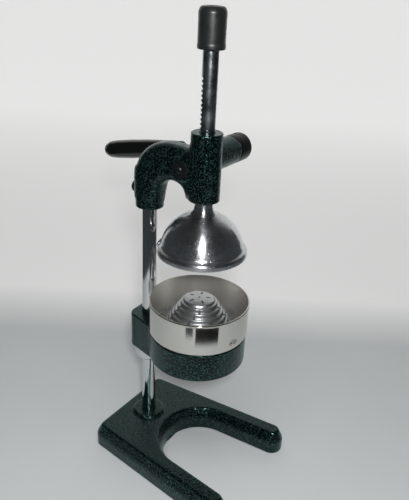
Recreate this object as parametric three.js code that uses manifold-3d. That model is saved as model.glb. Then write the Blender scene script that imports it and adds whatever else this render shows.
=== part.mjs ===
// Lever citrus press: a cast horseshoe base, a steel column, a cast bracket that carries the juice
// bowl, and a cast head in which a pinion on the lever shaft drives a rack bar and its dome.
// Millimetres, +Z up. The front is -Y, and the lever is on the +X side. The origin is on the
// underside of the base, on the axis of the column. The model is at rest: ram up, lever back.
import * as THREE from "three";
import { mergeVertices } from "three/addons/utils/BufferGeometryUtils.js";
import Module from "manifold-3d";

const wasm = await Module();
wasm.setup();

// ---------------------------------------------------------------- driving dimensions
const GAP = 0.3; // clearance between pieces that touch

const RAM_Y = -80; // ram axis, in front of the column
const COLUMN_R = 9.5;

const BASE_TOP = 32; // height of the flat top of the base
const BASE_SKIRT = 18; // height of its upright sides
const BASE_SHOULDER = 7; // how far the shoulder leans in
const BASE_BACK = 42; // back edge, behind the column
const BASE_HALF = 77; // half width at the column
const BASE_SPLAY = 0.088; // widening of each side per mm forwards
const BASE_CORNER = 14; // radius of the back corners
const PRONG_TIP = -182; // foremost point of the prongs
const PRONG_END_R = 16;
const NOTCH_R = 53; // radius of the round end of the notch
const NOTCH_BACK = -41; // its rearmost point
const FOOT_BOSS_TOP = 36;
const FOOT_BOSS_R = 20.5;
const BACK_POCKET = { x: [27, 67], y: [-32, 33], top: 23 }; // hollows in the underside
const PRONG_POCKET = { half: 9.5, y: [-160, -52], top: 22 };

const COLLAR_R = 18;
const COLLAR_Z = [134, 151.7];

// Block that clamps the column: its back face, half width, corner radius and half width at the ring
const BRACKET_BLOCK = { back: 21, half: 21.5, corner: 10, wide: 30, z: [152, 202] };
const RING_OUT = 61.5;
const RING_IN = 55;
const RING_Z = [170, 208];

const BOWL_RIM_R = 63.5;
const BOWL_RIM_Z = 251.2;
const BOWL_WALL = 1.2;
const SPOUT_R = 11;
const SPOUT_Z = 150;

const CONE_STEPS = 6;
const CONE_TOP_Z = 253.5;
const CONE_FLANGE_R = 60.6;

const SOCKET_R = 17.6; // head socket round the top of the column
const SOCKET_Z = 355;
const COLUMN_END_Z = 392;
const SLEEVE_R = 18;
const SLEEVE_Z = [382.6, 461.6];
const ARM_HALF = 15; // half width of the curved arm
const ARM_BEND = { centre: [-32.4, 392], radius: 49.6, top: 441.6 }; // outer bend of the arm, in y and z

const BAR_R = 8.6; // ram bar
const BAR_TOP = 586;
const STROKE = 86;
const CAP_Z = [548.4, 589.7];
const CAP_R = 15;

const DOME_RIM_Z = 316.7;
const DOME_RIM_R = 54.4;
const DOME_CENTRE_Z = 318;
const DOME_OUT = 50;
const DOME_IN = 46;
const DOME_NECK_R = 10.8;
const DOME_SEAT_Z = 363.5; // flat inside the dome that the washer bears on

const MODULE = 1.6;
const TEETH = 22;
const PITCH_R = (MODULE * TEETH) / 2;
const TOOTH_PITCH = Math.PI * MODULE;
const PRESSURE_ANGLE = (20 * Math.PI) / 180;
const BACKLASH = 0.4; // play shared by one tooth and its gap
const RACK_PITCH_Y = 5; // rack pitch line, behind the ram axis
const PINION_Y = RAM_Y + RACK_PITCH_Y + PITCH_R;
const PINION_Z = 418.5;
const PINION_HALF = 6;

const SHAFT_R = 7;
const BUSH_R = 9;
const END_WASHER_R = 10.4; // wide enough to cover the end of the left bush
const NEAR_FACE = -17; // face of the round boss at the shaft's left end
const NEAR_BOSS_R = 14;
const BARREL_R = 18;
const BARREL_END = 87;
const HUB_R = 18;
const HUB_X = [BARREL_END + GAP, 115];
const LEVER_X = 102.5;
const LEVER_DROP = (12 * Math.PI) / 180; // lever's slope below level at rest
const LEVER_ROD_R = 5.5;
const GRIP_FROM = 84; // along the lever, from the shaft axis
const GRIP_TO = 229;

// ---------------------------------------------------------------- materials
const material = (color, roughness, metalness) =>
  new THREE.MeshStandardMaterial({ color, roughness, metalness });
const CAST = material(0x0f1a18, 0.35, 0.3);
const CHROME = material(0xd8dade, 0.12, 1);
const STEEL = material(0xa9abae, 0.35, 1);
const STAINLESS = material(0xb9b6b0, 0.3, 1);
const ALUMINIUM = material(0xc4c7ca, 0.2, 1);
const BRONZE = material(0xa9854a, 0.4, 1);
const BLACK_STEEL = material(0x17181a, 0.45, 0.7);
const PLASTIC = material(0x0b0c0c, 0.2, 0);
const RUBBER = material(0x101111, 0.6, 0);

// ---------------------------------------------------------------- solids
// A closed geometry as a manifold solid: shared vertices are merged first.
function solid(geometry) {
  const bare = geometry.clone();
  for (const name of ["normal", "uv"]) bare.deleteAttribute(name);
  const merged = mergeVertices(bare, 1e-4);
  const index = merged.index.array;
  const kept = [];
  for (let i = 0; i < index.length; i += 3) {
    const [a, b, c] = [index[i], index[i + 1], index[i + 2]];
    if (a !== b && b !== c && a !== c) kept.push(a, b, c);
  }
  return new wasm.Manifold(
    new wasm.Mesh({
      numProp: 3,
      vertProperties: new Float32Array(merged.attributes.position.array),
      triVerts: new Uint32Array(kept),
    }),
  );
}

const moved = (geometry, x, y, z) => geometry.translate(x, y, z);

// Cylinder along X, Y or Z from a to b, centred on the two other coordinates.
function rod(axis, radius, a, b, [u, v] = [0, 0], segments = 32) {
  const shape = new THREE.CylinderGeometry(radius, radius, b - a, segments);
  const middle = (a + b) / 2;
  if (axis === "x") return solid(moved(shape.rotateZ(-Math.PI / 2), middle, u, v));
  if (axis === "y") return solid(moved(shape, u, middle, v));
  return solid(moved(shape.rotateX(Math.PI / 2), u, v, middle));
}

function block([x0, x1], [y0, y1], [z0, z1]) {
  const shape = new THREE.BoxGeometry(x1 - x0, y1 - y0, z1 - z0);
  return solid(moved(shape, (x0 + x1) / 2, (y0 + y1) / 2, (z0 + z1) / 2));
}

// Solid of revolution about the vertical axis at (x, y), from [radius, z] points.
function turned(points, [x, y], segments = 48) {
  const outline = points.map(([r, z]) => new THREE.Vector2(r, z));
  const shape = new THREE.LatheGeometry(outline, segments).rotateX(Math.PI / 2);
  const result = solid(moved(shape, x, y, 0));
  if (result.volume() > 0) return result;
  const reversed = [...outline].reverse();
  return solid(moved(new THREE.LatheGeometry(reversed, segments).rotateX(Math.PI / 2), x, y, 0));
}

// Solid of revolution about an X-parallel axis through (y, z), from [x, radius] points.
function turnedOnX(points, [y, z], segments = 32) {
  const about = turned(points.map(([x, r]) => [r, x]), [0, 0], segments);
  return about.rotate([0, 90, 0]).translate([0, y, z]);
}

// Side outline of [y, z] points, made solid from x = -half to x = half.
function sidePlate(points, half, middle = 0) {
  const outline = new THREE.Shape(points.map(([y, z]) => new THREE.Vector2(y, z)));
  const shape = new THREE.ExtrudeGeometry(outline, { depth: 2 * half, bevelEnabled: false });
  shape.rotateX(Math.PI / 2).rotateZ(Math.PI / 2);
  return solid(moved(shape, middle - half, 0, 0));
}

// Outline in plan made solid between two heights.
function planPlate(points, low, high) {
  const outline = new THREE.Shape(points.map(([x, y]) => new THREE.Vector2(x, y)));
  const shape = new THREE.ExtrudeGeometry(outline, { depth: high - low, bevelEnabled: false });
  return solid(moved(shape, 0, 0, low));
}

function arc([cx, cy], radius, from, to, steps) {
  return Array.from({ length: steps + 1 }, (_, i) => {
    const angle = ((from + ((to - from) * i) / steps) * Math.PI) / 180;
    return [cx + radius * Math.cos(angle), cy + radius * Math.sin(angle)];
  });
}

const union = (...parts) => parts.reduce((whole, part) => whole.add(part));
const cut = (whole, ...tools) => tools.reduce((rest, tool) => rest.subtract(tool), whole);

const press = new THREE.Group();

function piece(name, body, finish) {
  const { vertProperties, triVerts } = body.getMesh();
  const geometry = new THREE.BufferGeometry();
  geometry.setAttribute("position", new THREE.BufferAttribute(vertProperties, 3));
  geometry.setIndex(new THREE.BufferAttribute(triVerts, 1));
  geometry.computeVertexNormals();
  const mesh = new THREE.Mesh(geometry, finish);
  mesh.name = name;
  press.add(mesh);
}

const COLUMN_AXIS = [0, 0];
const RAM_AXIS = [0, RAM_Y];
const PINION_AXIS = [PINION_Y, PINION_Z];

// ---------------------------------------------------------------- base and column
const COLUMN_FOOT_Z = 6; // floor of the socket in the base
const BASE_SCREW_Z = 18;

// Plan outline of the base, pulled in by inset on every side.
function horseshoe(inset) {
  const side = (y) => BASE_HALF - BASE_SPLAY * y - inset;
  const back = BASE_BACK - inset;
  const corner = BASE_CORNER - inset / 2;
  const endR = PRONG_END_R - inset;
  const endY = PRONG_TIP + PRONG_END_R;
  const endX = side(endY) - endR;
  const notchR = NOTCH_R + inset;
  const notchY = NOTCH_BACK - NOTCH_R;
  const half = [
    ...arc([side(back) - corner, back - corner], corner, 90, 0, 4),
    ...arc([endX, endY], endR, 0, -180, 8),
    ...arc([0, notchY], notchR, 0, 90, 9),
  ];
  const mirrored = half.slice(0, -1).reverse().map(([x, y]) => [-x, y]);
  return new THREE.Shape([...half, ...mirrored].map(([x, y]) => new THREE.Vector2(x, y)));
}

function baseCasting() {
  const rise = BASE_TOP - BASE_SKIRT;
  const body = new THREE.ExtrudeGeometry(horseshoe(BASE_SHOULDER), {
    depth: BASE_SKIRT,
    bevelThickness: rise,
    bevelSize: BASE_SHOULDER,
    bevelSegments: 1,
  });
  const reach = 300;
  const aboveTable = block([-reach, reach], [-reach, reach], [0, reach]);
  const bossFoot = FOOT_BOSS_R + 2.5;
  const boss = turned(
    [[0, BASE_TOP - 6], [bossFoot, BASE_TOP - 6], [bossFoot, BASE_TOP],
      [FOOT_BOSS_R, FOOT_BOSS_TOP], [0, FOOT_BOSS_TOP]],
    COLUMN_AXIS,
    40,
  );
  return cut(
    union(solid(body).intersect(aboveTable), boss),
    rod("z", COLUMN_R + GAP, COLUMN_FOOT_Z, FOOT_BOSS_TOP + 5, COLUMN_AXIS, 40),
    rod("y", 4.3, 5, BASE_BACK + 5, [0, BASE_SCREW_Z], 20),
    ...[-1, 1].flatMap((side) => underside(side)),
  );
}

// Two hollows in the underside, behind the notch and along the prong of one side.
function underside(side) {
  const { x, y, top } = BACK_POCKET;
  const { half, y: along, top: roof } = PRONG_POCKET;
  const behind = block(x.map((value) => side * value).sort((a, b) => a - b), y, [-5, top]);
  const prong = block([-half, half], along, [-5, roof]);
  const turn = (side * Math.atan(BASE_SPLAY) * 180) / Math.PI;
  const middle = BASE_HALF - PRONG_END_R;
  return [behind, prong.rotate([0, 0, turn]).translate([side * middle, 0, 0])];
}

// Headless screw with a hexagonal socket, along Y, its point at y = tip.
function grubScrew(radius, tip, end, z) {
  return cut(rod("y", radius, tip, end, [0, z], 20), rod("y", radius * 0.5, end - 4, end + 1, [0, z], 6));
}

// Hexagon screw along Y: a head at the outside and a shank that stops at the column.
function hexScrew(shankR, headR, face, headDepth, z) {
  return union(
    rod("y", shankR, COLUMN_R + GAP, face + 1, [0, z], 20),
    rod("y", headR, face + GAP, face + GAP + headDepth, [0, z], 6),
  );
}

// Round-headed screw along Y with a hexagonal recess, and a shank that stops at the column.
function roundScrew(shankR, headR, face, headDepth, z) {
  const end = face + GAP + headDepth;
  return cut(
    union(
      rod("y", shankR, COLUMN_R + GAP, face + 1, [0, z], 20),
      rod("y", headR, face + GAP, end, [0, z], 28),
    ),
    rod("y", headR * 0.45, end - 3.5, end + 1, [0, z], 6),
  );
}

piece("base_casting", baseCasting(), CAST);
piece("base_set_screw", grubScrew(4, COLUMN_R + GAP, 26, BASE_SCREW_Z), BLACK_STEEL);
piece("column", rod("z", COLUMN_R, COLUMN_FOOT_Z + GAP, COLUMN_END_Z - GAP, COLUMN_AXIS, 40), CHROME);

// ---------------------------------------------------------------- collar and bowl bracket
const COLLAR_SCREW_Z = 143;
const BRACKET_SCREW_Z = 176;

function collar() {
  const [low, high] = COLLAR_Z;
  const ring = turned(
    [[COLUMN_R + GAP, low], [COLLAR_R - 1, low], [COLLAR_R, low + 1], [COLLAR_R, high - 1],
      [COLLAR_R - 1, high], [COLUMN_R + GAP, high], [COLUMN_R + GAP, low]],
    COLUMN_AXIS,
    40,
  );
  return cut(ring, rod("y", 3.1, 0, COLLAR_R + 5, [0, COLLAR_SCREW_Z], 16));
}

// Plan of the clamp block: round corners at the back, and wider where it runs into the ring.
function bracketPlan() {
  const { back, half, corner, wide } = BRACKET_BLOCK;
  const insideRing = RAM_Y + Math.sqrt(RING_OUT ** 2 - wide ** 2) - 4;
  const right = [[wide, insideRing], ...arc([half - corner, back - corner], corner, 0, 90, 6)];
  return [...right, ...right.map(([x, y]) => [-x, y]).reverse()];
}

function bowlBracket() {
  const [blockLow, blockHigh] = BRACKET_BLOCK.z;
  const [ringLow, ringHigh] = RING_Z;
  return cut(
    union(planPlate(bracketPlan(), blockLow, blockHigh), rod("z", RING_OUT, ringLow, ringHigh, RAM_AXIS, 56)),
    rod("z", RING_IN, blockLow - 5, ringHigh + 5, RAM_AXIS, 48),
    rod("z", COLUMN_R + GAP, blockLow - 5, ringHigh + 5, COLUMN_AXIS, 40),
    rod("y", 4.3, 0, BRACKET_BLOCK.back + 5, [0, BRACKET_SCREW_Z], 20),
  );
}

piece("support_collar", collar(), STEEL);
piece("collar_set_screw", grubScrew(2.8, COLUMN_R + GAP, COLLAR_R - 0.5, COLLAR_SCREW_Z), BLACK_STEEL);
piece("bowl_bracket", bowlBracket(), CAST);
piece("bracket_clamp_screw", hexScrew(4, 6.5, BRACKET_BLOCK.back, 5.5, BRACKET_SCREW_Z), BLACK_STEEL);

// ---------------------------------------------------------------- bowl and strainer
const BOWL_FLOOR_Z = RING_Z[1] + GAP;
const BOWL_OUT = BOWL_RIM_R - 0.9;
const FLANGE_Z = BOWL_FLOOR_Z + BOWL_WALL + GAP;
const WALL_HOLE = { half: 6.3, rise: 4, turn: -13, z: 219 }; // oval hole low in the bowl's wall

function juiceBowl() {
  const t = BOWL_WALL;
  const rim = BOWL_RIM_Z;
  const shell = turned(
    [
      [BOWL_OUT, BOWL_FLOOR_Z + 2], [BOWL_OUT, rim - 2.6], [BOWL_RIM_R, rim - 2], [BOWL_RIM_R, rim - 0.6],
      [BOWL_RIM_R - 0.7, rim], [BOWL_OUT - t - 0.3, rim], [BOWL_OUT - t, rim - 0.7],
      [BOWL_OUT - t, BOWL_FLOOR_Z + t], [RING_IN - 2.2, BOWL_FLOOR_Z + t], [SPOUT_R - t, SPOUT_Z + 14],
      [SPOUT_R - t, SPOUT_Z], [SPOUT_R, SPOUT_Z], [SPOUT_R, SPOUT_Z + 13.5],
      [RING_IN - 1.4, BOWL_FLOOR_Z - 1], [RING_IN - 1.2, BOWL_FLOOR_Z], [BOWL_OUT - 2, BOWL_FLOOR_Z],
      [BOWL_OUT, BOWL_FLOOR_Z + 2],
    ],
    RAM_AXIS,
    40,
  );
  const { half, rise, turn, z } = WALL_HOLE;
  const wallHole = rod("y", rise, -90, -30, [0, 0], 14).scale([half / rise, 1, 1]).rotate([0, 0, turn]);
  return shell.subtract(wallHole.translate([0, RAM_Y, z]));
}

// Radius and top of one step of the strainer, counted down from the cap.
const stepR = (i) => 23 + 3.8 * i;
const stepZ = (i) => 249.6 - 5.6 * i;

function strainer() {
  const t = 1.2;
  const capR = 19.5;
  const top = [[0, CONE_TOP_Z], [10, CONE_TOP_Z - 0.5], [capR - 2, CONE_TOP_Z - 1.6], [capR, stepZ(0)]];
  const under = [[0, CONE_TOP_Z - t], [9.5, CONE_TOP_Z - 0.5 - t], [capR - 2.8, CONE_TOP_Z - 2 - t],
    [capR - t, stepZ(0) - t]];
  for (let i = 0; i < CONE_STEPS; i += 1) {
    const next = i < CONE_STEPS - 1 ? stepZ(i + 1) : FLANGE_Z + t;
    top.push([stepR(i), stepZ(i)], [stepR(i), next]);
    under.push([stepR(i) - t, stepZ(i) - t], [stepR(i) - t, next - t]);
  }
  top.push([CONE_FLANGE_R, FLANGE_Z + t]);
  under.push([CONE_FLANGE_R, FLANGE_Z]);
  let body = turned([...top, ...under.reverse()], RAM_AXIS, 32);
  const slot = block([5.5, 14], [-0.9, 0.9], [240, 260]);
  for (let i = 0; i < 5; i += 1) {
    body = body.subtract(slot.rotate([0, 0, 90 + 72 * i]).translate([0, RAM_Y, 0]));
  }
  const pin = rod("z", 1.5, FLANGE_Z - 5, FLANGE_Z + 60, [0, 0], 6);
  body = body.subtract(pin.translate([0, RAM_Y, 0]));
  for (const [radius, count] of [[54, 12], [48, 12]]) {
    for (let i = 0; i < count; i += 1) {
      const turn = (2 * Math.PI * i) / count;
      body = body.subtract(pin.translate([radius * Math.cos(turn), RAM_Y + radius * Math.sin(turn), 0]));
    }
  }
  return body;
}

piece("juice_bowl", juiceBowl(), STAINLESS);
piece("strainer_cone", strainer(), STAINLESS);

// ---------------------------------------------------------------- head casting
const HEAD_SCREW_Z = 376;

// Curved arm between the column socket and the ram sleeve, seen from the side.
function armOutline() {
  const sleeveBack = RAM_Y + SLEEVE_R;
  return [
    [-SOCKET_R + 2, SOCKET_Z + 10], [SOCKET_R - 1, SOCKET_Z + 10],
    ...arc(ARM_BEND.centre, ARM_BEND.radius, 0, 90, 8),
    [sleeveBack + 8, ARM_BEND.top + 0.9], [sleeveBack + 2, ARM_BEND.top + 6],
    [sleeveBack - 1, ARM_BEND.top + 13],
    [RAM_Y, ARM_BEND.top + 13], [RAM_Y, SLEEVE_Z[0] + 1], [sleeveBack - 2, SLEEVE_Z[0] + 1],
    ...arc([-41, 376], 22, 160, 32, 7),
  ];
}

function headCasting() {
  const [sleeveLow, sleeveHigh] = SLEEVE_Z;
  const window = union(
    rod("x", PITCH_R + MODULE + 0.7, -PINION_HALF - 0.6, PINION_HALF + 0.6, PINION_AXIS, 40),
    block([-PINION_HALF - 0.6, PINION_HALF + 0.6], [PINION_Y - 4, PINION_Y + 18], [380, PINION_Z]),
  );
  return cut(
    union(
      rod("z", SOCKET_R, SOCKET_Z, COLUMN_END_Z + 12, COLUMN_AXIS, 48),
      sidePlate(armOutline(), ARM_HALF),
      rod("z", SLEEVE_R, sleeveLow, sleeveHigh, RAM_AXIS, 48),
      rod("x", NEAR_BOSS_R, NEAR_FACE, 0, PINION_AXIS, 32),
      rod("x", BARREL_R, 0, BARREL_END, PINION_AXIS, 36),
    ),
    rod("z", COLUMN_R + GAP, SOCKET_Z - 5, COLUMN_END_Z, COLUMN_AXIS, 40),
    rod("z", BAR_R + GAP, sleeveLow - 5, sleeveHigh + 5, RAM_AXIS, 40),
    window,
    rod("x", BUSH_R + GAP, NEAR_FACE - 5, BARREL_END + 5, PINION_AXIS, 28),
    rod("y", 4.1, 0, SOCKET_R + 5, [0, HEAD_SCREW_Z], 20),
  );
}

// Plain bearing bush on the lever shaft, from x0 to x1.
function bush(x0, x1) {
  return cut(
    rod("x", BUSH_R, x0, x1, PINION_AXIS, 28),
    rod("x", SHAFT_R + GAP, x0 - 1, x1 + 1, PINION_AXIS, 28),
  );
}

piece("head_casting", headCasting(), CAST);
piece("head_clamp_screw", roundScrew(3.8, 8.3, SOCKET_R, 6.7, HEAD_SCREW_Z), BLACK_STEEL);
piece("shaft_bush_left", bush(NEAR_FACE + 0.2, -PINION_HALF - GAP), BRONZE);
piece("shaft_bush_inner", bush(PINION_HALF + GAP, 24), BRONZE);
piece("shaft_bush_outer", bush(66, BARREL_END - 0.2), BRONZE);

// ---------------------------------------------------------------- pinion, shaft and lever
// Outline of the pinion: involute flanks, one tooth pointing at the rack.
function pinionOutline() {
  const base = PITCH_R * Math.cos(PRESSURE_ANGLE);
  const tip = PITCH_R + MODULE - 0.1;
  const root = PITCH_R - 1.25 * MODULE;
  const involute = (angle) => Math.tan(angle) - angle;
  const halfPitchTooth = (TOOTH_PITCH / 2 - BACKLASH / 2) / (2 * PITCH_R);
  const halfTooth = (r) => {
    const angle = r > base ? Math.acos(base / r) : 0;
    return halfPitchTooth + involute(PRESSURE_ANGLE) - involute(angle);
  };
  const radii = [root, base, PITCH_R - 0.4, PITCH_R + 0.7, tip];
  const points = [];
  for (let tooth = 0; tooth < TEETH; tooth += 1) {
    const middle = Math.PI + (2 * Math.PI * tooth) / TEETH;
    for (const r of radii) points.push([r, middle - halfTooth(r)]);
    for (const r of [...radii].reverse()) points.push([r, middle + halfTooth(r)]);
  }
  return points.map(([r, a]) => [PINION_Y + r * Math.cos(a), PINION_Z + r * Math.sin(a)]);
}

const KEY = { half: 2, low: 4.6, high: 9 }; // key between the shaft and the pinion, above the axis

function pinion() {
  return cut(
    sidePlate(pinionOutline(), PINION_HALF),
    rod("x", SHAFT_R + GAP, -20, 20, PINION_AXIS, 28),
    block(
      [-20, 20],
      [PINION_Y - KEY.half - GAP, PINION_Y + KEY.half + GAP],
      [PINION_Z, PINION_Z + KEY.high + GAP],
    ),
  );
}

const ROD_START = SHAFT_R + 1 + GAP;
const ROD_END = GRIP_TO - 14;
const HUB_PIN_R = 2.4;
const SHAFT_END = HUB_X[1] - 6;

function leverShaft() {
  return cut(
    rod("x", SHAFT_R, NEAR_FACE, SHAFT_END, PINION_AXIS, 28),
    block(
      [-PINION_HALF - GAP, PINION_HALF + GAP],
      [PINION_Y - KEY.half - GAP, PINION_Y + KEY.half + GAP],
      [PINION_Z + KEY.low - GAP, PINION_Z + 20],
    ),
    rod("x", 2.6, NEAR_FACE - 5, NEAR_FACE + 14, PINION_AXIS, 16),
    leverFrame(rod("z", HUB_PIN_R + GAP, -30, 30, [0, 0], 16)),
  );
}

// Places a solid made about the lever's own frame: +Y along the lever, origin in the hub.
function leverFrame(body) {
  return body.rotate([(-LEVER_DROP * 180) / Math.PI, 0, 0]).translate([LEVER_X, PINION_Y, PINION_Z]);
}

function leverHub() {
  const [x0, x1] = HUB_X;
  const drum = turnedOnX(
    [[x0, 0], [x0, HUB_R - 1], [x0 + 1, HUB_R], [x1 - 7, HUB_R], [x1 - 3, HUB_R - 2], [x1 - 0.8, HUB_R - 6],
      [x1, HUB_R - 10], [x1, 0]],
    PINION_AXIS,
    40,
  );
  return cut(
    drum,
    rod("x", SHAFT_R + GAP, x0 - 5, SHAFT_END + GAP, PINION_AXIS, 28),
    leverFrame(rod("y", LEVER_ROD_R + GAP, ROD_START - GAP, 40, [0, 0], 24)),
    leverFrame(rod("z", HUB_PIN_R + GAP, -30, 30, [0, 0], 16)),
  );
}

const LOCK_NUT = { from: HUB_R + 0.6, to: HUB_R + 7, radius: 10 };

function leverRod() {
  return leverFrame(rod("y", LEVER_ROD_R, ROD_START, ROD_END, [0, 0], 24));
}

function lockNut() {
  return leverFrame(cut(
    rod("y", LOCK_NUT.radius, LOCK_NUT.from, LOCK_NUT.to, [0, 0], 6),
    rod("y", LEVER_ROD_R + GAP, 0, 60, [0, 0], 24),
  ));
}

// Radius of the torpedo-shaped grip, along the lever.
const GRIP_OUTLINE = [[0, 8.2], [2, 9.6], [24, 11.2], [60, 12.9], [92, 13.5], [118, 13.2], [132, 12.4],
  [139, 10.6], [143, 7.6], [144.6, 4], [145, 0]];

function leverGrip() {
  const outline = [[0, GRIP_FROM], ...GRIP_OUTLINE.map(([s, r]) => [r, GRIP_FROM + s])];
  const torpedo = turned(outline, COLUMN_AXIS, 32).rotate([-90, 0, 0]);
  const bore = rod("y", LEVER_ROD_R + GAP, GRIP_FROM - 5, ROD_END + GAP, [0, 0], 24);
  return leverFrame(torpedo.subtract(bore));
}

function retainingScrew() {
  const face = NEAR_FACE - 1.9;
  return cut(
    union(
      rod("x", 2.3, face - 1, NEAR_FACE + 12, PINION_AXIS, 16),
      rod("x", 4.6, face - 3, face, PINION_AXIS, 24),
    ),
    rod("x", 2, face - 4, face - 1.2, PINION_AXIS, 6),
  );
}

piece("pinion_gear", pinion(), STEEL);
piece("lever_shaft", leverShaft(), STEEL);
piece(
  "pinion_key",
  block(
    [-PINION_HALF, PINION_HALF],
    [PINION_Y - KEY.half, PINION_Y + KEY.half],
    [PINION_Z + KEY.low, PINION_Z + KEY.high],
  ),
  STEEL,
);
piece(
  "shaft_washer",
  cut(
    rod("x", END_WASHER_R, NEAR_FACE - 1.6, NEAR_FACE - GAP, PINION_AXIS, 28),
    rod("x", 2.6, -40, 0, PINION_AXIS, 16),
  ),
  BLACK_STEEL,
);
piece("shaft_retaining_screw", retainingScrew(), BLACK_STEEL);
piece("lever_hub", leverHub(), CAST);
piece("hub_cross_pin", leverFrame(rod("z", HUB_PIN_R, -HUB_R + 1, HUB_R - 1, [0, 0], 16)), STEEL);
piece("lever_rod", leverRod(), CHROME);
piece("lever_lock_nut", lockNut(), STEEL);
piece("lever_grip", leverGrip(), PLASTIC);

// ---------------------------------------------------------------- ram, cap and dome
const RACK_Z = [PINION_Z - 14.5, PINION_Z + STROKE + 19.5]; // toothed length of the bar
const SPIGOT = { radius: 5.5, low: 370, high: 382.3 };

// Outline of the metal that is cut away between the rack teeth, seen from the side.
function rackGaps() {
  const [low, high] = RACK_Z;
  const tip = RAM_Y + RACK_PITCH_Y + MODULE;
  const root = RAM_Y + RACK_PITCH_Y - 1.25 * MODULE;
  const beyond = RAM_Y + BAR_R + 3;
  const slope = Math.tan(PRESSURE_ANGLE);
  const halfGap = (TOOTH_PITCH / 2 + BACKLASH / 2) / 2;
  const halfAt = (y) => halfGap + (y - RAM_Y - RACK_PITCH_Y) * slope;
  const points = [[beyond, low]];
  const first = Math.ceil((low + 3 - PINION_Z) / TOOTH_PITCH);
  const last = Math.floor((high - 3 - PINION_Z) / TOOTH_PITCH);
  points.push([tip, low]);
  for (let i = first; i <= last; i += 1) {
    const middle = PINION_Z + i * TOOTH_PITCH;
    points.push([tip, middle - halfAt(tip)], [root, middle - halfAt(root)]);
    points.push([root, middle + halfAt(root)], [tip, middle + halfAt(tip)]);
  }
  points.push([tip, high], [beyond, high]);
  return points;
}

function ramBar() {
  return cut(
    union(
      rod("z", BAR_R, SPIGOT.high, BAR_TOP, RAM_AXIS, 40),
      rod("z", SPIGOT.radius, SPIGOT.low, SPIGOT.high + 1, RAM_AXIS, 28),
    ),
    sidePlate(rackGaps(), BAR_R + 2),
    rod("z", 3.1, SPIGOT.low - 1, SPIGOT.high + 6, RAM_AXIS, 16),
  );
}

function ramCap() {
  const [low, high] = CAP_Z;
  return turned(
    [
      [BAR_R + GAP, low], [CAP_R - 0.8, low], [CAP_R, low + 0.8], [CAP_R, low + 4], [CAP_R - 0.6, low + 6],
      [CAP_R - 0.9, high - 7], [CAP_R - 1.8, high - 3.2], [CAP_R - 3.6, high - 0.7], [CAP_R - 5.5, high],
      [6.5, high], [5.8, high - 1.6], [0, high - 1.8], [0, BAR_TOP + GAP], [BAR_R + GAP, BAR_TOP + GAP],
      [BAR_R + GAP, low],
    ],
    RAM_AXIS,
    32,
  );
}

function pressDome() {
  const bead = DOME_RIM_Z;
  const neckTop = SPIGOT.high - GAP;
  const outside = arc([0, DOME_CENTRE_Z], DOME_OUT, 14, 66, 5);
  const inside = arc([0, DOME_CENTRE_Z], DOME_IN, 76, 6, 5);
  const boreR = SPIGOT.radius + GAP;
  return turned(
    [
      [DOME_RIM_R - 0.6, bead], [DOME_RIM_R, bead + 0.8], [DOME_RIM_R, bead + 5.6],
      [DOME_RIM_R - 2.4, bead + 7.2],
      ...outside,
      [14.5, 367.2], [DOME_NECK_R + 0.8, 371.5], [DOME_NECK_R, 376], [DOME_NECK_R, neckTop],
      [boreR, neckTop], [boreR, SPIGOT.low - GAP], [3.2, SPIGOT.low - GAP], [3.2, DOME_SEAT_Z],
      [9, DOME_SEAT_Z],
      ...inside,
      [DOME_IN + 1.6, bead], [DOME_RIM_R - 0.6, bead],
    ],
    RAM_AXIS,
    40,
  );
}

const WASHER_T = 1.5;

function domeScrew() {
  const under = DOME_SEAT_Z - GAP - WASHER_T - GAP;
  return union(
    rod("z", 2.8, under - 1, SPIGOT.high + 4, RAM_AXIS, 16),
    rod("z", 6, under - 4.2, under, RAM_AXIS, 6),
  );
}

piece("ram_rack", ramBar(), STEEL);
piece("ram_cap", ramCap(), RUBBER);
piece("press_dome", pressDome(), ALUMINIUM);
piece(
  "dome_washer",
  cut(
    rod("z", 8.2, DOME_SEAT_Z - GAP - WASHER_T, DOME_SEAT_Z - GAP, RAM_AXIS, 28),
    rod("z", 3.1, DOME_SEAT_Z - 10, DOME_SEAT_Z + 5, RAM_AXIS, 16),
  ),
  STEEL,
);
piece("dome_screw", domeScrew(), STEEL);

export default press;
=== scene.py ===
"""Lever citrus press: the looks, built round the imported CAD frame.

Lengths are millimetres until a mesh is made.
"""

import math
from functools import reduce

import bmesh
import bpy
import numpy as np
from mathutils import Matrix, Vector


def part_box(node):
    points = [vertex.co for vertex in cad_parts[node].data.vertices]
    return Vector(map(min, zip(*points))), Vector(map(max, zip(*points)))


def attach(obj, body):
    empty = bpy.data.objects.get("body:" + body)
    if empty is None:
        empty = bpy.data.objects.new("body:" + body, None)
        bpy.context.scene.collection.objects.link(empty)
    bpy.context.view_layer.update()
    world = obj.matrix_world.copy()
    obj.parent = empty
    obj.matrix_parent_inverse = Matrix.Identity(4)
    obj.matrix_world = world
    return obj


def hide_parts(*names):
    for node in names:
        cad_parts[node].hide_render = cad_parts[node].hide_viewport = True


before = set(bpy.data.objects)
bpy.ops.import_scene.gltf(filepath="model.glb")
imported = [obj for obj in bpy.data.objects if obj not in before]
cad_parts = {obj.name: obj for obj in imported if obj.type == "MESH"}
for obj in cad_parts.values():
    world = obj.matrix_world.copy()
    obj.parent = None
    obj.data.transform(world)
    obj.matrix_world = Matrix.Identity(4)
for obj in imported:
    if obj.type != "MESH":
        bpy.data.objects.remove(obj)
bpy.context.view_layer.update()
MM = 0.001


# ---- sizes, from the frame
def box(node):
    """Lowest and highest corner of a CAD node, in millimetres."""
    low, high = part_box(node)
    return np.array(low) / MM, np.array(high) / MM


def middle(node):
    low, high = box(node)
    return (low + high) / 2


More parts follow.
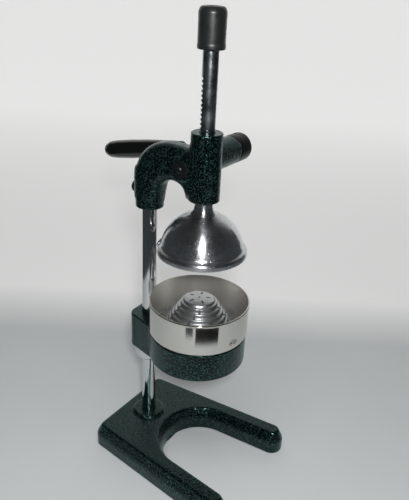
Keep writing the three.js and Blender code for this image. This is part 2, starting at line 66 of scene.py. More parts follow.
COLUMN_LOW, COLUMN_HIGH = box("column")
COLUMN_R = (COLUMN_HIGH[0] - COLUMN_LOW[0]) / 2
RAM_Y = middle("ram_rack")[1]
PINION_Y, PINION_Z = middle("lever_shaft")[1:]
LEVER_DROP = math.radians(12)
STROKE = 86
PRONG_SPLAY = 0.088
BORE_GAP = 0.3
SHAFT_BORE = 7.3
ROD_BORE = 5.8
SMALL_SCREW_HOLE = 3.1
CLAMP_SCREW_HOLE = 4.3
FLOOR_REACH = 30000
AWAY = (0.836, 0.548, 0.0)  # level, from the camera to the press

BASE_LOW, BASE_HIGH = box("base_casting")
BRACKET_LOW, BRACKET_HIGH = box("bowl_bracket")
BOWL_LOW, BOWL_HIGH = box("juice_bowl")
HEAD_LOW, HEAD_HIGH = box("head_casting")
DOME_LOW, DOME_HIGH = box("press_dome")
CAP_LOW, CAP_HIGH = box("ram_cap")
BAR_LOW, BAR_HIGH = box("ram_rack")
BAR_R = (BAR_HIGH[0] - BAR_LOW[0]) / 2
HUB_LOW, HUB_HIGH = box("lever_hub")
HUB_R = (HUB_HIGH[2] - HUB_LOW[2]) / 2


# ---- meshes
def new_object(name, mesh):
    piece = bpy.data.objects.new(name, mesh)
    bpy.context.scene.collection.objects.link(piece)
    return piece


def mesh_object(name, points, faces, smooth=True):
    """A mesh object from points in millimetres, with its faces turned outwards."""
    mesh = bpy.data.meshes.new(name)
    mesh.from_pydata([[c * MM for c in p] for p in points], [], [list(f) for f in faces])
    work = bmesh.new()
    work.from_mesh(mesh)
    bmesh.ops.remove_doubles(work, verts=work.verts, dist=1e-7)
    bmesh.ops.recalc_face_normals(work, faces=work.faces)
    work.to_mesh(mesh)
    work.free()
    mesh.validate()
    if smooth:
        mesh.shade_smooth()
    return new_object(name, mesh)


def apply_modifiers(piece):
    bpy.context.view_layer.update()
    graph = bpy.context.evaluated_depsgraph_get()
    mesh = bpy.data.meshes.new_from_object(piece.evaluated_get(graph), depsgraph=graph)
    old = piece.data
    piece.modifiers.clear()
    piece.data = mesh
    bpy.data.meshes.remove(old)
    return piece


def shade_by_angle(piece, degrees=35):
    """Smooth shading with the sharp edges kept crisp."""
    mesh = piece.data
    mesh.shade_smooth()
    work = bmesh.new()
    work.from_mesh(mesh)
    limit = math.radians(degrees)
    for edge in work.edges:
        edge.smooth = len(edge.link_faces) == 2 and edge.calc_face_angle(0) < limit
    work.to_mesh(mesh)
    work.free()
    return piece


def join(pieces):
    """All the pieces as one object, which keeps the first one's name."""
    work = bmesh.new()
    for piece in pieces:
        work.from_mesh(piece.data)
    work.to_mesh(pieces[0].data)
    work.free()
    for piece in pieces[1:]:
        mesh = piece.data
        bpy.data.objects.remove(piece)
        bpy.data.meshes.remove(mesh)
    return pieces[0]


def boolean(piece, tool, operation):
    modifier = piece.modifiers.new("cut", "BOOLEAN")
    modifier.operation = operation
    modifier.solver = "EXACT"
    modifier.object = tool
    apply_modifiers(piece)
    bpy.data.objects.remove(tool)
    return piece


def cut(piece, *tools):
    """Subtracts closed meshes that don't touch each other from a piece."""
    return shade_by_angle(boolean(piece, join(list(tools)), "DIFFERENCE"))


def intersect(piece, tool):
    """Keeps what a piece and a closed mesh have in common."""
    return boolean(piece, tool, "INTERSECT")


def bevel(piece, width, segments=2, angle=40):
    modifier = piece.modifiers.new("bevel", "BEVEL")
    modifier.width = width * MM
    modifier.segments = segments
    modifier.limit_method = "ANGLE"
    modifier.angle_limit = math.radians(angle)
    apply_modifiers(piece)
    return shade_by_angle(piece)


def rounded(corners, steps=5):
    """An outline of (u, v, radius) corners with each corner turned into an arc of that radius."""
    outline = []
    count = len(corners)
    for i, (u, v, radius) in enumerate(corners):
        here = np.array([u, v], float)
        if radius <= 0 or i in (0, count - 1):
            outline.append(here)
            continue
        before = np.array(corners[i - 1][:2], float) - here
        after = np.array(corners[i + 1][:2], float) - here
        room_before, room_after = np.linalg.norm(before), np.linalg.norm(after)
        before, after = before / room_before, after / room_after
        angle = math.acos(np.clip(before @ after, -1, 1))
        if angle > math.pi - 0.02:
            outline.append(here)
            continue
        reach = min(radius / math.tan(angle / 2), 0.48 * room_before, 0.48 * room_after)
        radius = reach * math.tan(angle / 2)
        bisector = (before + after) / np.linalg.norm(before + after)
        centre = here + bisector * radius / math.sin(angle / 2)
        first, last = here + before * reach - centre, here + after * reach - centre
        a0, a1 = math.atan2(first[1], first[0]), math.atan2(last[1], last[0])
        turn = (a1 - a0 + math.pi) % (2 * math.pi) - math.pi
        for k in range(steps + 1):
            a = a0 + turn * k / steps
            outline.append(centre + radius * np.array([math.cos(a), math.sin(a)]))
    return [tuple(p) for p in outline]


def turned(name, outline, segments=96, closed=False):
    """Revolves (radius, height) points about +Z. An open outline starts and ends on the axis."""
    points, faces, rings = [], [], []
    for radius, height in outline:
        if radius < 1e-6:
            rings.append([len(points)] * segments)
            points.append((0, 0, height))
            continue
        rings.append(list(range(len(points), len(points) + segments)))
        for k in range(segments):
            a = 2 * math.pi * k / segments
            points.append((radius * math.cos(a), radius * math.sin(a), height))
    pairs = list(zip(rings, rings[1:]))
    if closed:
        pairs.append((rings[-1], rings[0]))
    for low, high in pairs:
        for k in range(segments):
            n = (k + 1) % segments
            face = []
            for corner in (low[k], low[n], high[n], high[k]):
                if corner not in face:
                    face.append(corner)
            if len(face) > 2:
                faces.append(face)
    return shade_by_angle(mesh_object(name, points, faces))


def prism(name, outline, low, high):
    """An outline of (x, y) points made solid from low to high."""
    count = len(outline)
    points = [(x, y, low) for x, y in outline] + [(x, y, high) for x, y in outline]
    sides = [(i, (i + 1) % count, count + (i + 1) % count, count + i) for i in range(count)]
    caps = [list(range(count))[::-1], list(range(count, 2 * count))]
    return shade_by_angle(mesh_object(name, points, sides + caps))


def disc(radius, sides, phase=0.0):
    angles = [phase + 2 * math.pi * k / sides for k in range(sides)]
    return [(radius * math.cos(a), radius * math.sin(a)) for a in angles]


def plug(radius, low, high, sides=32):
    """A plain cylinder along +Z that cuts a round hole."""
    return turned("plug", [(0, low), (radius, low), (radius, high), (0, high)], sides)


def placed(piece, matrix):
    piece.data.transform(matrix)
    return piece


def at(x, y, z=0.0):
    return Matrix.Translation((x * MM, y * MM, z * MM))


# +Z of a turned piece laid along +X, +Y, or the lever
ALONG_X = Matrix.Rotation(math.pi / 2, 4, "Y")
ALONG_Y = Matrix.Rotation(-math.pi / 2, 4, "X")
ON_SHAFT = at(0, PINION_Y, PINION_Z) @ ALONG_X
LEVER_X = middle("lever_rod")[0]
ACROSS_LEVER = at(LEVER_X, PINION_Y, PINION_Z) @ Matrix.Rotation(-LEVER_DROP, 4, "X")
ON_LEVER = ACROSS_LEVER @ ALONG_Y


# ---- castings, as distance fields
def soft_min(a, b, radius):
    """Union of two fields with a fillet of about this radius where they meet."""
    share = np.clip(0.5 + 0.5 * (b - a) / radius, 0, 1)
    return b + (a - b) * share - radius * share * (1 - share)


def soft_max(a, b, radius):
    """Intersection of two fields with their common edge rounded."""
    return -soft_min(-a, -b, radius)


def most(*fields):
    """Intersection of fields with sharp edges."""
    return reduce(np.maximum, fields)


def least(*fields):
    """Union of fields with sharp edges."""
    return reduce(np.minimum, fields)


def round_edge(side, end, edge):
    """Distance to where two faces cross, with their common edge rounded."""
    outside = np.sqrt(np.maximum(side, 0) ** 2 + np.maximum(end, 0) ** 2)
    return np.minimum(np.maximum(side, end), 0) + outside - edge


def back_hole(x, y, up, radius):
    """How deep a point is in a round hole that runs back along +Y."""
    return np.where(y > 0, radius - np.sqrt(x**2 + up**2), -9.0)


def drum(across, along, radius, low, high, edge):
    """Distance to a cylinder: across is the distance from its axis, along the place on it."""
    end = np.abs(along - (low + high) / 2) - (high - low) / 2 + edge
    return round_edge(across - radius + edge, end, edge)


def polygon(u, v, corners):
    """Signed distance to a closed 2-D outline, negative inside."""
    u, v = np.broadcast_arrays(u, v)
    nearest = np.full(u.shape, 1e18)
    inside = np.zeros(u.shape, bool)
    for (u0, v0), (u1, v1) in zip(corners, corners[1:] + corners[:1]):
        du, dv = u1 - u0, v1 - v0
        t = np.clip(((u - u0) * du + (v - v0) * dv) / max(du * du + dv * dv, 1e-12), 0, 1)
        nearest = np.minimum(nearest, (u - u0 - t * du) ** 2 + (v - v0 - t * dv) ** 2)
        if dv != 0:
            inside ^= ((v0 > v) != (v1 > v)) & (u < u0 + (v - v0) * du / dv)
    return np.where(inside, -1, 1) * np.sqrt(nearest)


def plate(flat, along, half, edge):
    """A 2-D distance made solid over +-half, with rounded edges."""
    return round_edge(flat + edge, np.abs(along) - half + edge, edge)


def arc(centre, radius, start, end, steps):
    angles = np.radians(np.linspace(start, end, steps + 1))
    return [(centre[0] + radius * math.cos(a), centre[1] + radius * math.sin(a)) for a in angles]


def cast(name, field, low, high, step):
    """The zero surface of a distance field as a mesh of quads, with its points moved onto it."""
    axes = [np.arange(a - 2 * step, b + 3 * step, step) for a, b in zip(low, high)]
    x, y, z = np.meshgrid(*axes, indexing="ij", sparse=True)
    value = np.broadcast_to(field(x, y, z), [len(a) for a in axes]).astype(np.float32)
    solid = value < 0
    cells = tuple(n - 1 for n in value.shape)
    total, crossings = np.zeros(cells + (3,), np.float32), np.zeros(cells, np.float32)
    corner = lambda a, i, j, k: a[i : i + cells[0], j : j + cells[1], k : k + cells[2]]
    for axis in range(3):
        for side in range(4):
            start = [0, 0, 0]
            start[(axis + 1) % 3], start[(axis + 2) % 3] = side & 1, side >> 1
            end = list(start)
            end[axis] = 1
            a, b = corner(value, *start), corner(value, *end)
            crossed = corner(solid, *start) != corner(solid, *end)
            t = np.where(crossed, a / np.where(crossed, a - b, 1), 0)
            for other in range(3):
                total[..., other] += crossed * (t if other == axis else start[other])
            crossings += crossed
    used = crossings > 0
    index = np.full(cells, -1)
    index[used] = np.arange(used.sum())
    place = np.argwhere(used) + total[used] / crossings[used][:, None]
    points = np.array([a[0] for a in axes]) + place * step
    faces = []
    for axis in range(3):
        u, v = (axis + 1) % 3, (axis + 2) % 3
        first = [slice(1, -1)] * 3
        first[axis] = slice(0, -1)
        second = list(first)
        second[axis] = slice(1, None)
        leaving = solid[tuple(first)] & ~solid[tuple(second)]
        entering = ~solid[tuple(first)] & solid[tuple(second)]
        for change, order in ((leaving, (0, 1, 2, 3)), (entering, (3, 2, 1, 0))):
            where = np.argwhere(change)
            where[:, u] += 1
            where[:, v] += 1
            ring = []
            for du, dv in ((-1, -1), (0, -1), (0, 0), (-1, 0)):
                cell = where.copy()
                cell[:, u] += du
                cell[:, v] += dv
                ring.append(index[cell[:, 0], cell[:, 1], cell[:, 2]])
            faces.append(np.stack([ring[o] for o in order], 1))
    faces = np.concatenate(faces)
    small = 0.05
    for _ in range(3):
        px, py, pz = points.T
        here = field(px, py, pz)
        slope = np.stack(
            [
                field(px + small, py, pz) - here,
                field(px, py + small, pz) - here,
                field(px, py, pz + small) - here,
            ],
            1,
        ) / small
        steep = np.maximum((slope**2).sum(1), 0.2)
        shift = -here[:, None] * slope / steep[:, None]
        points = points + np.clip(shift, -0.4 * step, 0.4 * step)
    return mesh_object(name, points.tolist(), faces.tolist())


def horseshoe():
    """Plan outline of the base at the table."""
    corner = 14
    half_at_column, notch_r, end_r = 77, 53, 16
    back, tip = BASE_HIGH[1], BASE_LOW[1]
    side = lambda y: half_at_column - PRONG_SPLAY * y
    end_y = tip + end_r
    end_x = side(end_y) - end_r
    half = (
        arc((side(back) - corner, back - corner), corner, 90, 0, 10)
        + arc((end_x, end_y), end_r, 0, -180, 20)
        + arc((0, -41 - notch_r), notch_r, 0, 90, 24)
    )
    return half + [(-x, y) for x, y in reversed(half[:-1])]


def base_casting():
    outline = horseshoe()
    top, skirt, lean, boss_top = 32.0, 18.0, 7.0, BASE_HIGH[2]
    boss_r, boss_foot, screw_z = 20.5, 23.0, 18.0
    rise = top - skirt
    slant = math.hypot(rise, lean)
    back_pocket = [(27, -32), (67, -32), (67, 33), (27, 33)]
    prong_pocket = [(51.5, -160), (70.5, -160), (70.5, -52), (51.5, -52)]
    splay = math.atan(PRONG_SPLAY)
    middle_x = 61.0

    def hollow(x, y, z):
        """The four pockets in the underside, the same on both sides."""
        x = np.abs(x)
        turned_x = middle_x + (x - middle_x) * math.cos(splay) + y * math.sin(splay)
        turned_y = y * math.cos(splay) - (x - middle_x) * math.sin(splay)
        behind = soft_max(polygon(x, y, back_pocket), z - 23.0, 3.0)
        prong = soft_max(polygon(turned_x, turned_y, prong_pocket), z - 22.0, 3.0)
        return np.minimum(behind, prong)

    def field(x, y, z):
        edge = polygon(x, y, outline)
        shoulder = (edge * rise + (z - skirt) * lean) / slant
        body = soft_max(soft_max(edge, shoulder, 1.6), z - top, 2.2)
        across = np.sqrt(x**2 + y**2)
        wall = (boss_top - top) / (boss_foot - boss_r)
        boss = soft_max((wall * (across - boss_r) + z - boss_top) / math.hypot(wall, 1), z - boss_top, 1.2)
        body = soft_min(body, boss, 1.6)
        body = soft_max(body, -z, 1.0)
        body = soft_max(body, COLUMN_R + BORE_GAP - across, 1.4)
        body = soft_max(body, back_hole(x, y, z - screw_z, CLAMP_SCREW_HOLE), 1.0)
        return soft_max(body, -hollow(x, y, z), 1.2)

    return cast("cast_base", field, (BASE_LOW[0], BASE_LOW[1], 0), BASE_HIGH, 1.1)


def bracket_plan(ring_r):
    """Plan outline of the block that clamps the column, wider where it runs into the ring."""
    back, half, corner, wide = BRACKET_HIGH[1], 21.5, 14, 30
    inside_ring = RAM_Y + math.sqrt(ring_r**2 - wide**2) - 4
    right = [(wide, inside_ring)] + arc((half - corner, back - corner), corner, 0, 90, 10)
    return right + [(-x, y) for x, y in reversed(right)]


def bowl_bracket():
    ring_r, ring_in = (BRACKET_HIGH[0] - BRACKET_LOW[0]) / 2, 55.0
    block_low, block_high = BRACKET_LOW[2], 202.0
    ring_low, ring_high = 170.0, BRACKET_HIGH[2]
    plan = bracket_plan(ring_r)
    block_middle, block_half = (block_low + block_high) / 2, (block_high - block_low) / 2
    screw_z = middle("bracket_clamp_screw")[2]

    def field(x, y, z):
        to_column = np.sqrt(x**2 + y**2)
        to_ram = np.sqrt(x**2 + (y - RAM_Y) ** 2)
        ring = drum(to_ram, z, ring_r, ring_low, ring_high, 1.6)
        block = plate(polygon(x, y, plan), z - block_middle, block_half, 1.8)
        body = soft_min(ring, block, 5.0)
        body = soft_max(body, ring_in - to_ram, 1.5)
        body = soft_max(body, COLUMN_R + BORE_GAP - to_column, 0.8)
        return most(body, back_hole(x, y, z - screw_z, CLAMP_SCREW_HOLE), block_low - z, z - ring_high)

    return cast("cast_bracket", field, BRACKET_LOW, BRACKET_HIGH, 1.1)


def head_casting():
    socket_r, sleeve_r, arm_half = 17.6, 18.0, 15.0
    socket_low, sleeve_low, sleeve_high = HEAD_LOW[2], 382.6, HEAD_HIGH[2]
    column_end = COLUMN_HIGH[2] + BORE_GAP
    boss_face, barrel_end = HEAD_LOW[0], HEAD_HIGH[0]
    sleeve_back, arm_top = RAM_Y + sleeve_r, 441.6
    side_view = (
        [(-socket_r + 2, socket_low + 10), (socket_r - 1, socket_low + 10)]
        + arc((-32.4, 392), 49.6, 0, 90, 24)
        + [(sleeve_back + 6, arm_top), (RAM_Y, arm_top)]
        + [(RAM_Y, sleeve_low + 3), (sleeve_back - 2, sleeve_low + 3)]
        + arc((-41, 376), 22, 160, 32, 16)
    )
    window_r, window_half, bush_seat, hole_r = 19.9, 6.6, 9.3, 4.1
    screw_z = middle("head_clamp_screw")[2]

    def field(x, y, z):
        to_column = np.sqrt(x**2 + y**2)
        to_ram = np.sqrt(x**2 + (y - RAM_Y) ** 2)
        to_shaft = np.sqrt((y - PINION_Y) ** 2 + (z - PINION_Z) ** 2)
        socket = drum(to_column, z, socket_r, socket_low, column_end + 12, 1.6)
        arm = plate(polygon(y, z, side_view), x, arm_half, 12.0)
        sleeve = drum(to_ram, z, sleeve_r, sleeve_low, sleeve_high, 1.3)
        boss = drum(to_shaft, x, 14.0, boss_face, 0, 1.6)
        barrel = drum(to_shaft, x, HUB_R, 0, barrel_end, 0.8)
        body = soft_min(soft_min(socket, arm, 6.0), sleeve, 11.0)
        body = soft_min(soft_min(body, boss, 3.0), barrel, 5.0)
        body = most(body, socket_low - z, z - sleeve_high, boss_face - x, x - barrel_end)
        gear_room = np.maximum(to_shaft - window_r, np.abs(x) - window_half)
        slot = most(PINION_Y - 4 - y, y - PINION_Y - 18, np.abs(x) - window_half, z - PINION_Z)
        bore = np.maximum(to_column - COLUMN_R - BORE_GAP, z - column_end)
        bar_bore, bush_bore = to_ram - BAR_R - BORE_GAP, to_shaft - bush_seat
        hollow = least(gear_room, slot, bore, bar_bore, bush_bore, -back_hole(x, y, z - screw_z, hole_r))
        return soft_max(body, -hollow, 0.7)

    return cast("cast_head", field, HEAD_LOW, HEAD_HIGH, 0.95)


# ---- turned and machined pieces
def column():
    low, high = COLUMN_LOW[2], COLUMN_HIGH[2]
    outline = rounded([(0, low, 0), (COLUMN_R, low, 1), (COLUMN_R, high, 1), (0, high, 0)])
    return turned("steel_column", outline, 96)


def ring_side(bore, radius, low, high, seam, inner, outer):
    """Half section of a ring with rounded edges. It starts and ends at the seam in its bore."""
    return rounded(
        [(bore, seam, 0), (bore, low, inner), (radius, low, outer), (radius, high, outer), (bore, high, inner),
         (bore, seam + 0.01, 0)]
    )


def support_collar():
    low, high = box("support_collar")
    radius, bore = (high[0] - low[0]) / 2, COLUMN_R + BORE_GAP
    outline = ring_side(bore, radius, low[2], high[2], low[2] + 3, 0.5, 1.2)
    ring = turned("column_collar", outline, 96, closed=True)
    screw_z = middle("collar_set_screw")[2]
    hole = placed(plug(SMALL_SCREW_HOLE, 5, radius + 4), at(0, 0, screw_z) @ ALONG_Y)
    return cut(ring, hole)


def juice_bowl():
    rim_z, rim_r = BOWL_HIGH[2], (BOWL_HIGH[0] - BOWL_LOW[0]) / 2
    wall_r, floor = rim_r - 0.9, BRACKET_HIGH[2] + BORE_GAP
    spout_low, spout_r, spout_bore, sheet = BOWL_LOW[2], 11, 9.8, 1.1
    wall_in = wall_r - sheet
    outside = [
        (spout_r, spout_low + 3, 0), (spout_r, spout_low + 13.5, 6), (53.6, floor - 1, 1.6),
        (53.8, floor, 0.4), (wall_r, floor, 2.6), (wall_r, rim_z - 3.2, 1.2), (rim_r, rim_z - 2.4, 0.8),
        (rim_r, rim_z, 1.1),
    ]
    inside = [
        (wall_in - 0.2, rim_z, 0.7), (wall_in, rim_z - 2, 1.2), (wall_in, floor + sheet, 2.2),
        (52.8, floor + sheet, 1.6), (spout_bore, spout_low + 14, 5), (spout_bore, spout_low, 0.4),
        (spout_r, spout_low, 0.4), (spout_r, spout_low + 3.01, 0),
    ]
    shell = turned("steel_bowl", rounded(outside + inside, 6), 144, closed=True)
    half_width, half_height, hole_z, angle = 6.3, 4.0, 219.0, math.radians(-13)
    hole = prism("hole", [(half_width * x, half_height * y) for x, y in disc(1, 48)], 40, 90)
    turn = Matrix.Rotation(angle, 4, "Z") @ Matrix.Rotation(math.pi / 2, 4, "X")
    placed(hole, at(0, 0, hole_z) @ turn)
    return placed(cut(shell, hole), at(0, RAM_Y))


STRAINER_STEPS = 6


def step_corner(i):
    return 23 + 3.8 * i, 249.6 - 5.6 * i


def ring_of_plugs(radius, count, share, size, low, high):
    """Round cutters evenly about the axis, turned by a share of their spacing."""
    places = disc(radius, count, 2 * math.pi * share / count)
    return [placed(plug(size, low, high, 12), at(x, y)) for x, y in places]


def strainer():
    low, high = box("strainer_cone")
    top, flange, edge, sheet = high[2], low[2] + 1.2, (high[0] - low[0]) / 2, 1.1
    outside = [(0, top, 0), (11, top - 0.5, 12), (18.4, top - 1.5, 2.4), (20.3, top - 4.2, 1.5)]
    for i in range(STRAINER_STEPS):
        radius, height = step_corner(i)
        last = i == STRAINER_STEPS - 1
        below = flange if last else step_corner(i + 1)[1]
        outside.append((radius - 1.6, height - 0.5, 0.9))
        outside.append((radius, height - 1.0, 1.6))
        outside.append((radius + 0.1, below + (0 if last else -0.9), 1.0))
    outside.append((edge, flange, 0.5))
    inside = [(u - sheet if u > sheet else 0, v - sheet * 1.1, r) for u, v, r in outside[:-1]]
    inside.append((edge, flange - sheet, 0.5))
    shell = turned("steel_strainer", rounded(outside, 4) + rounded(inside[::-1], 4), 120)
    tools = []
    slot_in, slot_out, slot_half = 9.4, 13.4, 1.15
    slot = [(x + (slot_out if x > 0 else slot_in), y) for x, y in disc(slot_half, 12)]
    for i in range(5):
        turn = Matrix.Rotation(math.radians(90 + 72 * i), 4, "Z")
        tools.append(placed(prism("slot", slot, top - 9, top + 4), turn))
    for radius, count, share, size in ((54.6, 26, 0, 1.35), (49.4, 24, 0.5, 1.35), (45.4, 22, 0, 1.1)):
        tools += ring_of_plugs(radius, count, share, size, flange - 6, flange + 6)
    for i in range(STRAINER_STEPS - 1):
        radius, height = step_corner(i)
        tools += ring_of_plugs(radius + 1.3, 5 + i, 0.37 * i, 1.8, height - 12, height + 3)
    tools.append(plug(1.4, top - 4, top + 3, 16))
    return placed(cut(shell, *tools), at(0, RAM_Y))


def press_dome():
    rim, rim_r, neck_top = DOME_LOW[2], (DOME_HIGH[0] - DOME_LOW[0]) / 2, DOME_HIGH[2]
    centre, outer, inner, neck_r, seat = 318.0, 50.0, 46.0, 10.8, 363.5
    groove = rim + 9.2
    shell = [
        (52.6, rim, 0), (rim_r - 0.5, rim, 0.5), (rim_r, rim + 0.8, 0.6), (rim_r, rim + 5.4, 1.6),
        (52.6, rim + 7.4, 1.0), (51.0, groove - 1.1, 0.5), (49.6, groove - 0.2, 0.3),
        (50.0, groove + 0.9, 0.4),
    ]
    shell += [(u, v, 0) for u, v in arc((0, centre), outer, 12, 66, 30)]
    socket_r, socket_floor, bolt_r = 5.8, 369.7, 3.2
    shell += [
        (15.2, 366.6, 3), (11.9, 370.4, 6), (neck_r, 376, 8), (neck_r, neck_top, 0.6),
        (socket_r, neck_top, 0.3), (socket_r, socket_floor, 0.3), (bolt_r, socket_floor, 0.2),
        (bolt_r, seat, 0.2), (9, seat, 0.6),
    ]
    shell += [(u, v, 0) for u, v in arc((0, centre), inner, 77, 4, 36)]
    shell += [(47.6, rim + 0.5, 1.0), (48.6, rim, 0.5), (52.61, rim, 0)]
    return placed(turned("aluminium_dome", rounded(shell, 5), 144, closed=True), at(0, RAM_Y))


def ram_bar():
    low, high = BAR_LOW[2], BAR_HIGH[2]
    shoulder, spigot = DOME_HIGH[2] + BORE_GAP, 5.5
    outline = rounded(
        [(0, low, 0), (spigot, low, 0.5), (spigot, shoulder, 0.2), (BAR_R, shoulder, 0.5), (BAR_R, high, 0.8),
         (0, high, 0)]
    )
    bar = turned("rack_bar", outline, 96)
    module, pitch_y, backlash = 1.6, 5.0, 0.1
    pitch, slope = math.pi * module, math.tan(math.radians(20))
    tip, root, beyond = pitch_y + module, pitch_y - 1.25 * module, BAR_R + 3
    wide = pitch / 4 + backlash + (tip - pitch_y) * slope
    narrow = pitch / 4 + backlash + (root - pitch_y) * slope
    flat_low, flat_high = PINION_Z - 14.5, PINION_Z + STROKE + 19.5
    first, last = math.ceil(-11.5 / pitch), math.floor((STROKE + 16.5) / pitch)
    side = [(beyond, flat_low), (tip, flat_low)]
    for i in range(first, last + 1):
        gap = PINION_Z + i * pitch
        side += [(tip, gap - wide), (root, gap - narrow), (root, gap + narrow), (tip, gap + wide)]
    side += [(tip, flat_high), (beyond, flat_high)]
    comb = prism("comb", side, -BAR_R - 2, BAR_R + 2)
    upright = Matrix(((0, 0, 1, 0), (1, 0, 0, 0), (0, 1, 0, 0), (0, 0, 0, 1)))
    placed(comb, upright)
    cut(bar, comb, plug(SMALL_SCREW_HOLE, low - 1, shoulder + 6))
    bevel(bar, 0.18, 2, 30)
    return placed(bar, at(0, RAM_Y))


def ram_cap():
    low, high, cap_r = CAP_LOW[2], CAP_HIGH[2], (CAP_HIGH[0] - CAP_LOW[0]) / 2
    bore, roof = BAR_R + BORE_GAP, BAR_HIGH[2] + BORE_GAP
    outline = rounded(
        [(bore, low + 6, 0), (bore, low, 0.6), (cap_r - 0.3, low, 0.8), (cap_r, low + 1.6, 1.0),
         (cap_r, low + 4.2, 1.5), (cap_r - 0.35, low + 6.2, 2), (cap_r - 0.2, high - 5, 6),
         (cap_r - 2.6, high, 4.0), (6.6, high, 0.8), (6.0, high - 1.6, 0.8), (0, high - 1.8, 0)],
        7,
    )
    under = rounded([(0, roof, 0), (bore, roof, 0.6), (bore, low + 6.01, 0)], 4)
    cap = turned("rubber_cap", outline + under[:-1], 96, closed=True)
    return placed(cap, at(0, RAM_Y))


def hex_screw(name, node, head_r, shank_r, face):
    """A hexagon screw along +Y with a chamfered head and a washer face."""
    low, high = box(node)
    depth = high[1] - face
    head = prism(name, disc(head_r, 6, math.pi / 6), 0.6, depth)
    round_r, flat_r, washer_r, start = head_r + 0.05, head_r * 0.84, head_r * 0.86, low[1] - face
    shaped = rounded(
        [(0, 0.6, 0), (round_r, 0.6, 0), (round_r, depth - 1.3, 0), (flat_r, depth, 0.2), (0, depth, 0)]
    )
    intersect(head, turned("chamfer", shaped, 48))
    bevel(head, 0.35, 2, 25)
    side = [(0, start), (shank_r, start), (shank_r, 0.2), (washer_r, 0.3), (washer_r, 0.6), (0, 0.6)]
    piece = shade_by_angle(join([head, turned("shank", side, 40)]))
    return placed(piece, at(0, face, (low[2] + high[2]) / 2) @ ALONG_Y)


def round_screw(name, node, shank_r, face):
    """A round-headed screw along +Y with a hexagonal recess and a well rounded rim."""
    low, high = box(node)
    radius, depth = (high[0] - low[0]) / 2, high[1] - face
    outline = rounded(
        [(0, low[1] - face, 0), (shank_r, low[1] - face, 0.4), (shank_r, 0.3, 0.2), (radius, 0.3, 0.3),
         (radius, 2.4, 1.5), (radius * 0.86, depth - 0.9, 2.5), (radius * 0.6, depth, 1.5), (0, depth, 0)]
    )
    screw = turned(name, outline, 64)
    cut(screw, prism("socket", disc(radius * 0.42, 6), depth - 3.4, depth + 2))
    return placed(screw, at(0, face, (low[2] + high[2]) / 2) @ ALONG_Y)


def set_screw(name, node):
    """A headless screw along +Y with a hexagonal socket and a chamfered end."""
    low, high = box(node)
    radius, length = (high[0] - low[0]) / 2, high[1] - low[1]
    body = turned(name, rounded([(0, 0, 0), (radius, 0, 0.8), (radius, length, 0.5), (0, length, 0)]), 40)
    cut(body, prism("socket", disc(radius * 0.52, 6), length - 4, length + 2))
    return placed(body, at(0, low[1], (low[2] + high[2]) / 2) @ ALONG_Y)


# ---- the lever
def lever_hub():
    x0, x1, radius = HUB_LOW[0], HUB_HIGH[0], HUB_R
    shaft_end = box("lever_shaft")[1][0]
    outline = rounded(
        [(0, x0, 0), (radius - 1.0, x0, 0.3), (radius, x0 + 1.0, 0.8), (radius, x1 - 4, 3),
         (radius - 4.6, x1 - 0.2, 4), (0, x1, 0)],
        8,
    )
    hub = turned("cast_hub", outline, 96)
    rod_hole = plug(ROD_BORE, 8, 40, 48)
    pin_hole = plug(2.7, -30, 30)
    bore = plug(SHAFT_BORE, x0 - 5, shaft_end + BORE_GAP, 48)
    placed(hub, ON_SHAFT)
    for tool, matrix in ((bore, ON_SHAFT), (rod_hole, ON_LEVER), (pin_hole, ACROSS_LEVER)):
        placed(tool, matrix)
        cut(hub, tool)
    return hub


def lever_rod():
    start, end, radius = 8.3, 215.0, 5.5
    outline = rounded([(0, start, 0), (radius, start, 0.6), (radius, end, 1), (0, end, 0)])
    return placed(turned("chrome_rod", outline, 64), ON_LEVER)


def lock_nut():
    low, high, radius = HUB_R + 0.6, HUB_R + 7, 10.0
    nut = prism("steel_lock_nut", disc(radius, 6), low, high)
    flat_r, round_r = radius * 0.9, radius * 1.02
    cone = [(0, low), (flat_r, low), (round_r, low + 0.9), (round_r, high - 0.9), (flat_r, high), (0, high)]
    intersect(nut, turned("chamfer", cone, 64))
    cut(nut, plug(ROD_BORE, low - 2, high + 2, 48))
    bevel(nut, 0.3, 2, 25)
    return placed(nut, ON_LEVER)


def lever_grip():
    first, bore, bore_end = 84.0, ROD_BORE, 215.3
    swell = [(0, 8.2, 0.8), (2.4, 9.7, 2.0), (26, 11.3, 60), (62, 12.9, 90), (94, 13.5, 60), (118, 13.2, 30),
             (132, 12.2, 14), (140.5, 9.4, 6), (144.3, 4.0, 3), (144.6, 0, 0)]
    inside = [(0, bore_end, 0), (bore, bore_end, 0.3), (bore, first + 0.4, 0.2), (bore + 0.5, first, 0.2)]
    outside = [(radius, first + along, soft) for along, radius, soft in swell]
    return placed(turned("moulded_grip", rounded(inside + outside, 8), 96), ON_LEVER)


def washer(name, node, bore):
    """A flat ring about the shaft, or upright about the ram, with its edges rounded."""
    low, high = box(node)
    size = high - low
    along_x = size[0] < size[2]
    thick, radius = (size[0], size[2] / 2) if along_x else (size[2], size[0] / 2)
    soft = min(0.4, thick / 3)
    ring = turned(name, ring_side(bore, radius, 0, thick, thick / 2, soft / 2, soft), 72, closed=True)
    x, y, z = middle(node)
    return placed(ring, at(low[0], y, z) @ ALONG_X if along_x else at(x, y, low[2]))


def bush(name, node):
    low, high = box(node)
    radius, length = (high[2] - low[2]) / 2, high[0] - low[0]
    outline = ring_side(SHAFT_BORE, radius, 0, length, length / 2, 0.5, 0.6)
    return placed(turned(name, outline, 72, closed=True), at(low[0], PINION_Y, PINION_Z) @ ALONG_X)


